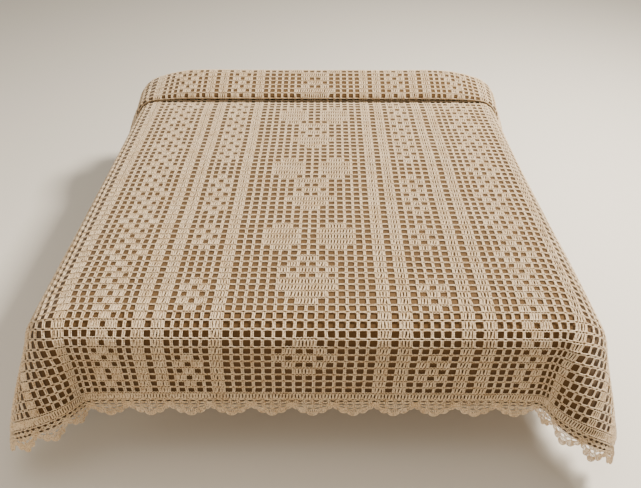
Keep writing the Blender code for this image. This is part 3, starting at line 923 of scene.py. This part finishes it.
edging = dict(
    scallop=4.235 * cell,      # its width along the hem
    sideScallops=19,           # along each side
    footScallops=17,           # one more turns each foot corner
    valley=1.12,               # depth between two scallops and at the middle of one, in cells
    tip=2.62,
    roundness=1.4,             # how the depth falls from tip to valley: 1 straight, 2 an arch
    # from here on, across in quarters of a scallop and out from the hem in cells
    pitch=0.17,                # stitches along a row
    strandRadius=0.00185,      # in metres
    # each row's depth from a scallop's middle to its end, and the places and height of the slits along it
    rows=[
        dict(depths=[(0.0, 0.02), (2.0, 0.02)],
             slits=(), slitHeight=0.0),
        dict(depths=[(0.0, 0.28), (2.0, 0.28)],
             slits=(-2.0, -1.2, -0.4, 0.4, 1.2, 2.0), slitHeight=0.19),
        dict(depths=[(0.0, 0.82), (1.2, 0.80), (2.0, 0.68)],
             slits=(-1.2, -0.45, 0.35, 1.15), slitHeight=0.14),
        dict(depths=[(0.0, 1.47), (0.5, 1.42), (1.1, 1.16), (1.6, 1.02), (2.0, 0.96)],
             slits=(-1.15, -0.5, 0.28, 1.12), slitHeight=0.14),
    ],
    slitWidth=0.56,
    closed=0.06,               # how far two strands stay apart where no slit is
    forkAt=0.45,               # how far out a forked lobe's in-between spokes start
    samples=31,                # points along a scallop's row
    # place across, depth and half width of each lobe, the turns that its fan starts and ends at, in radians,
    # and the part of the last row that the fan grows from
    lobes=[
        dict(place=0.0, rim=2.62, half=0.56, turns=(-1.45, 1.45), grows=(-0.45, 0.45), forked=True),
        dict(place=0.9, rim=2.2, half=0.46, turns=(-0.5, 1.6), grows=(0.5, 1.2), forked=False),
        dict(place=-0.9, rim=2.2, half=0.46, turns=(-1.6, 0.5), grows=(-1.2, -0.5), forked=False),
        dict(place=1.57, rim=1.6, half=0.38, turns=(-0.7, 1.6), grows=(1.25, 1.98), forked=False),
        dict(place=-1.57, rim=1.6, half=0.38, turns=(-1.6, 0.7), grows=(-1.98, -1.25), forked=False),
    ],
    rimBetween=[(0.0, 1.7), (1.0, 1.5), (1.6, 1.3), (2.0, 1.13)],
    relief=0.0006,             # how far strands cross over and under each other, in metres
    bakeRows=9,                # strips that its long map is cut into
    seed=11,
)
scallops = 2 * edging["sideScallops"] + 2 + edging["footScallops"]


def rowDepth(row, s):
    return np.interp(np.abs(s), *zip(*row["depths"]))


def slitAt(row, s):
    # how far the two strands of a row part from its middle line
    near = sum(np.clip(1 - (2 * (s - slit) / edging["slitWidth"]) ** 2, 0, None) for slit in row["slits"])
    return edging["closed"] + row["slitHeight"] * near ** 0.7


def rimDepth(s):
    depth = np.interp(np.abs(s), *zip(*edging["rimBetween"]))
    for lobe in edging["lobes"]:
        rise = 1 - np.clip(np.abs(s - lobe["place"]) / lobe["half"], 0, 1) ** 2
        arc = lobe["rim"] - lobe["half"] * (1 - np.sqrt(rise))
        depth = np.where(rise > 0, np.maximum(depth, arc), depth)
    return depth


def scallopStrands():
    # the yarn of one scallop in cells: along the hem, out from it, and its relief
    strands = []
    places = np.linspace(-2, 2, edging["samples"])
    for row in edging["rows"][1:]:
        for hand in (-1, 1):
            depths = rowDepth(row, places) + hand * slitAt(row, places)
            strands.append([(s, depth, 1.0) for s, depth in zip(places, depths)])
    for above, below in zip(edging["rows"], edging["rows"][1:]):
        for count, s in enumerate(np.arange(-2 + edging["pitch"] / 2, 2, edging["pitch"])):
            foot = rowDepth(above, s) + slitAt(above, s)
            head = rowDepth(below, s) - slitAt(below, s)
            if head - foot > 0.05:
                lift = 0.5 if count % 2 else -0.5
                strands.append([(s, foot, lift), (s, head, lift)])
    last = edging["rows"][-1]
    for lobe in edging["lobes"]:
        start, end = lobe["turns"]
        count = round(lobe["half"] * (end - start) / edging["pitch"])
        edge = lobe["half"] - edging["closed"]
        middle = lobe["rim"] - lobe["half"]
        for spoke in range(count + 1):
            angle = start + (end - start) * spoke / count
            grown = lobe["grows"][0] + (lobe["grows"][1] - lobe["grows"][0]) * spoke / count
            foot = Vector((grown, float(rowDepth(last, grown) + slitAt(last, grown))))
            head = Vector((lobe["place"] + edge * math.sin(angle), middle + edge * math.cos(angle)))
            if lobe["forked"] and spoke % 2:
                foot = foot.lerp(head, edging["forkAt"])
            lift = 0.5 if spoke % 2 else -0.5
            strands.append([(*foot, lift), (*head, lift)])
    rim = rimDepth(places) - edging["closed"]
    strands.append([(s, depth, 1.0) for s, depth in zip(places, rim)])
    return strands


def scallopMesh():
    points, edges = [], []
    for strand in scallopStrands():
        start = len(points)
        points += [(s * edging["scallop"] / 4, d * cell, lift * edging["relief"]) for s, d, lift in strand]
        edges += [(i, i + 1) for i in range(start, len(points) - 1)]
    mesh = bpy.data.meshes.new("scallop")
    mesh.from_pydata(points, edges, [])
    return mesh


def edgingPlace(s, d):
    # flat place along the hems from the head, round both foot corners, and out from them
    size = drapeSizes
    count = s / edging["scallop"]
    corner = edging["sideScallops"] + 1
    last = corner + edging["footScallops"]
    half = (corner + last) / 2
    side = np.where(count > half, 1.0, -1.0)
    count = half - np.abs(count - half)
    turn = np.clip(count - edging["sideScallops"], 0, 1) * math.pi / 2
    down = np.clip(count, None, edging["sideScallops"]) / edging["sideScallops"]
    inward = np.clip(count - corner, 0, None) * edging["scallop"]
    u = -size["halfWidth"] + inward * 2 * size["halfWidth"] / (edging["footScallops"] * edging["scallop"])
    v = headEdge - down * (headEdge + size["footHem"])
    return drape(side * (u - d * np.cos(turn)), v - d * np.sin(turn))


def makeEdgingGuide():
    banded = 8                 # scallops along the turned-back part, sampled more finely
    fine, coarse = 40, 16      # samples in a scallop
    along = np.concatenate([
        np.linspace(0, banded, banded * fine, endpoint=False),
        np.linspace(banded, scallops - banded, (scallops - 2 * banded) * coarse, endpoint=False),
        np.linspace(scallops - banded, scallops, banded * fine + 1),
    ]) * edging["scallop"]
    outward = np.linspace(-0.1, 3.0, 12) * cell
    return makeGuide("edging_guide", edgingPlace, along, outward, facing=-1)


def edgingTree():
    # one scallop's yarn repeated along the hem
    tree, sizes = newYarnTree("scalloped edging", {
        "Strand Radius": edging["strandRadius"], "Wobble": net["wobble"],
        "Wobble Grain": 1 / net["wobbleSize"],
        "Lift": net["lift"], "Scallop": edging["scallop"], "Count": float(scallops),
    })
    first = addNode(tree, "ShaderNodeMath", {0: sizes["Scallop"], 1: 0.5}, operation="MULTIPLY")
    start = addNode(tree, "ShaderNodeCombineXYZ", {"X": first})
    step = addNode(tree, "ShaderNodeCombineXYZ", {"X": sizes["Scallop"]})
    places = addNode(tree, "GeometryNodeMeshLine", {"Count": sizes["Count"],
                                                    "Start Location": start,
                                                    "Offset": step})
    repeated = addNode(tree, "GeometryNodeInstanceOnPoints", {"Points": places,
                                                              "Instance": sizes["Geometry"]})
    repeated = addNode(tree, "GeometryNodeRealizeInstances", {"Geometry": repeated})
    strands = addNode(tree, "GeometryNodeMeshToCurve", {"Mesh": repeated})
    layAndSpin(tree, sizes, strands)
    return tree


def makeEdging(material):
    guide, spans = makeEdgingGuide()
    piece = workTree("lace_edging", scallopMesh(), edgingTree(), guide, spans, material, edging["seed"],
                     edging["bakeRows"])
    piece.data.flip_normals()  # the hem's flat plan is a mirror image, which turns the tubes inside out
    bpy.data.objects.remove(guide)
    return piece


mattressCover = dict(
    colour="#62482A",
    weave=0.003,               # thread spacing; the real 1 mm would be too fine to show
    edge=0.124,                # rounding of the edges
    inset=0.0012,              # its top lies this far under the CAD top, clear of the net
    crease=0.003,              # how deep the cover's hollows are
    creaseSize=0.22,           # and how far apart
    divisions=(44, 48, 12),
    piping=0.0045,             # radius of the corded seam
    pipingHeight=0.045,        # above the bottom edge
    fill=0.9,
)
baseCover = dict(
    colour="#5E4327",
    edge=0.012,
    crease=0.0015,
    divisions=(36, 40, 6),
)
wovenCotton = dict(
    roughness=0.92,
    slubSize=1 / 14,           # 71 mm from one thicker stretch of thread to the next
    slubTone=0.12,
    relief=0.0006,
    sheen=0.2,
)
plinthFinish = dict(
    colour="#4B3220",
    grainColour="#2E1C10",
    roughness=0.45,
    grainLength=0.08,
    grainStretch=22.0,         # how many times longer than wide, which makes it 3.6 mm wide
    relief=0.0005,
)


def wovenFinish(name, colour, threads):
    # plain-woven furnishing cotton, piece-dyed brown: matt, with crossing threads and a faint slub
    material, tree, shader = newMaterial(name, colour, wovenCotton["roughness"])
    place = addNode(tree, "ShaderNodeTexCoord").outputs["Object"]
    parts = addNode(tree, "ShaderNodeSeparateXYZ", {0: place})
    waves = []
    for axis in "XYZ":
        phase = addNode(tree, "ShaderNodeMath", {0: parts.outputs[axis], 1: 2 * math.pi / threads},
                        operation="MULTIPLY")
        waves.append(addNode(tree, "ShaderNodeMath", {0: phase}, operation="SINE"))
    crossed = addNode(tree, "ShaderNodeMath", {0: waves[0], 1: waves[1]},
                      operation="MULTIPLY")
    weave = addNode(tree, "ShaderNodeMath", {0: crossed, 1: waves[2]}, operation="ADD")
    slub = addNode(tree, "ShaderNodeTexNoise", {"Vector": place, "Scale": 1 / wovenCotton["slubSize"],
                                                "Detail": 4.0})
    tone = addNode(tree, "ShaderNodeMapRange", {"Value": slub.outputs["Fac"], "From Min": 0.3,
                                                "From Max": 0.7, "To Min": 1 - wovenCotton["slubTone"],
                                                "To Max": 1 + wovenCotton["slubTone"]})
    tinted = addNode(tree, "ShaderNodeVectorMath", {0: linear(colour)[:3], 3: tone},
                     operation="SCALE")
    tree.links.new(tinted.outputs[0], shader.inputs["Base Color"])
    bump = addNode(tree, "ShaderNodeBump", {"Height": weave, "Strength": 0.3,
                                            "Distance": wovenCotton["relief"]})
    tree.links.new(bump.outputs[0], shader.inputs["Normal"])
    shader.inputs["Sheen Weight"].default_value = wovenCotton["sheen"]
    return material


def woodFinish():
    # beech board, stained dark and lacquered: long fine grain and a soft shine
    material, tree, shader = newMaterial("dark stained beech board", plinthFinish["colour"],
                                         plinthFinish["roughness"])
    place = addNode(tree, "ShaderNodeTexCoord").outputs["Object"]
    stretch = (1.0, 1.0, plinthFinish["grainStretch"])
    drawn = addNode(tree, "ShaderNodeVectorMath", {0: place, 1: stretch}, operation="MULTIPLY")
    grain = addNode(tree, "ShaderNodeTexNoise", {"Vector": drawn, "Detail": 5.0,
                                                 "Scale": 1 / plinthFinish["grainLength"]})
    colour = addNode(tree, "ShaderNodeMix", {0: grain.outputs["Fac"], 6: linear(plinthFinish["colour"]),
                                             7: linear(plinthFinish["grainColour"])}, data_type="RGBA")
    tree.links.new(colour.outputs[2], shader.inputs["Base Color"])
    bump = addNode(tree, "ShaderNodeBump", {"Height": grain.outputs["Fac"], "Strength": 0.1,
                                            "Distance": plinthFinish["relief"]})
    tree.links.new(bump.outputs[0], shader.inputs["Normal"])
    return material


def softBlock(name, low, high, sizes, creaseSize, material):
    # a closed block with rounded edges and shallow creases
    shape = bmesh.new()
    across, along, up = sizes["divisions"]
    middle = (low + high) / 2
    half = (high - low) / 2
    edge = sizes["edge"]
    seen = {}

    def corner(a, b, c):
        if (a, b, c) not in seen:
            flat = Vector(((2 * a / across - 1) * half.x, (2 * b / along - 1) * half.y,
                           (2 * c / up - 1) * half.z))
            inner = Vector([min(max(value, edge - size), size - edge) for value, size in zip(flat, half)])
            way = (flat - inner).normalized()
            place = middle + inner + way * edge
            dent = 0.5 + 0.5 * noise.noise(place / creaseSize)
            seen[a, b, c] = shape.verts.new(place - way * sizes["crease"] * dent)
        return seen[a, b, c]

    for c in (0, up):
        for a in range(across):
            for b in range(along):
                face = [corner(a, b, c), corner(a + 1, b, c), corner(a + 1, b + 1, c), corner(a, b + 1, c)]
                shape.faces.new(face if c else face[::-1])
    for c in range(up):
        for b in (0, along):
            for a in range(across):
                face = [corner(a, b, c), corner(a + 1, b, c), corner(a + 1, b, c + 1), corner(a, b, c + 1)]
                shape.faces.new(face[::-1] if b else face)
        for a in (0, across):
            for b in range(along):
                face = [corner(a, b, c), corner(a, b + 1, c), corner(a, b + 1, c + 1), corner(a, b, c + 1)]
                shape.faces.new(face if a else face[::-1])
    mesh = bpy.data.meshes.new(name)
    for face in shape.faces:
        face.smooth = True
    shape.to_mesh(mesh)
    shape.free()
    mesh.materials.append(material)
    return mesh


def makeBlanket(material):
    # one thin cloth from behind the edging at the foot, turned back inside the band at the head
    size = drapeSizes
    across = np.linspace(-1, 1, blanket["steps"][0] + 1) * (size["halfWidth"] + blanket["belowHem"])
    along = np.linspace(-size["footHem"] - blanket["belowHem"], size["tuck"], blanket["steps"][1] + 1)
    turned = np.linspace(size["tuck"], size["tuck"] + blanket["pastTuck"], blanket["steps"][2] + 1)
    along = np.concatenate([along, turned[1:]])
    source = newPiece("blanket_grid", gridMesh("blanket_grid", underDrape(*np.meshgrid(across, along))))
    source.data.materials.append(material)
    source.data.shade_smooth()
    thick = source.modifiers.new("thickness", "SOLIDIFY")
    thick.thickness = blanket["thickness"]
    thick.offset = 0.0
    mesh = bpy.data.meshes.new_from_object(source.evaluated_get(bpy.context.evaluated_depsgraph_get()))
    mesh.name = "under_blanket_cloth"
    bpy.data.objects.remove(source)
    return newPiece("under_blanket_cloth", mesh), (across[-1] - across[0], along[-1] - along[0])


def addPiping(mesh, low, high, radius, corner, height, sides=8):
    # a corded seam round a block
    shape = bmesh.new()
    shape.from_mesh(mesh)
    middle = (low + high) / 2
    half = (high - low) / 2
    reach = math.sqrt(corner ** 2 - max(corner - (height - low.z), 0) ** 2)    # the block's rounding
    path = []
    for turn, (right, back) in enumerate([(1, 1), (-1, 1), (-1, -1), (1, -1)]):
        centre = Vector(((half.x - corner) * right, (half.y - corner) * back, 0))
        for step in np.linspace(0, math.pi / 2, 9):
            angle = step + turn * math.pi / 2
            path.append((centre, Vector((math.cos(angle), math.sin(angle), 0))))
    rings = []
    for centre, way in path:
        ringPoints = []
        for step in range(sides):
            angle = step * 2 * math.pi / sides
            place = centre + way * (reach - radius * 0.3 + radius * math.cos(angle))
            place.z = radius * math.sin(angle)
            ringPoints.append(shape.verts.new(Vector((middle.x, middle.y, height)) + place))
        rings.append(ringPoints)
    for ring, after in zip(rings, rings[1:] + rings[:1]):
        for k in range(sides):
            following = (k + 1) % sides
            face = shape.faces.new([ring[k], after[k], after[following], ring[following]])
            face.smooth = True
    shape.to_mesh(mesh)
    shape.free()


def makeMattress():
    low = mattressLow.copy()
    high = mattressHigh - Vector((0, 0, mattressCover["inset"]))
    material = wovenFinish("brown woven cotton ticking", mattressCover["colour"], mattressCover["weave"])
    mesh = softBlock("mattress_cover", low, high, mattressCover, mattressCover["creaseSize"], material)
    addPiping(mesh, low, high, mattressCover["piping"], mattressCover["edge"],
              low.z + mattressCover["pipingHeight"])
    return newPiece("mattress_cover", mesh)


def makeBase():
    material = wovenFinish("dark brown woven base cover", baseCover["colour"], mattressCover["weave"])
    mesh = softBlock("bed_base_cover", baseLow, baseHigh, baseCover, mattressCover["creaseSize"], material)
    return newPiece("bed_base_cover", mesh)


makeCamera()
makeLights()
makeFloor()
print("camera, lights and floor made")

yarn = cottonYarnFinish()
netParts = makeNet(yarn)
laceEdging = makeEdging(yarn)
print(laceEdging.name, len(laceEdging.data.polygons), "faces")

mattress = makeMattress()
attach(mattress, "root")
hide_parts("mattress")
base = makeBase()
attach(base, "root")
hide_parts("bed_base")
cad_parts["plinth"].material_slots[0].material = woodFinish()
brownCotton = wovenFinish("brown woven cotton blanket", blanket["colour"], mattressCover["weave"])
under, underFlat = makeBlanket(brownCotton)
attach(under, "root")
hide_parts("under_blanket")
print("bed covered")

for piece, (firstRow, lastRow) in zip(netParts, netPieces.values()):
    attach(piece, "root")
    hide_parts("bedspread")
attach(laceEdging, "root")
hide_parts("scalloped_edging")
print("cloth told")
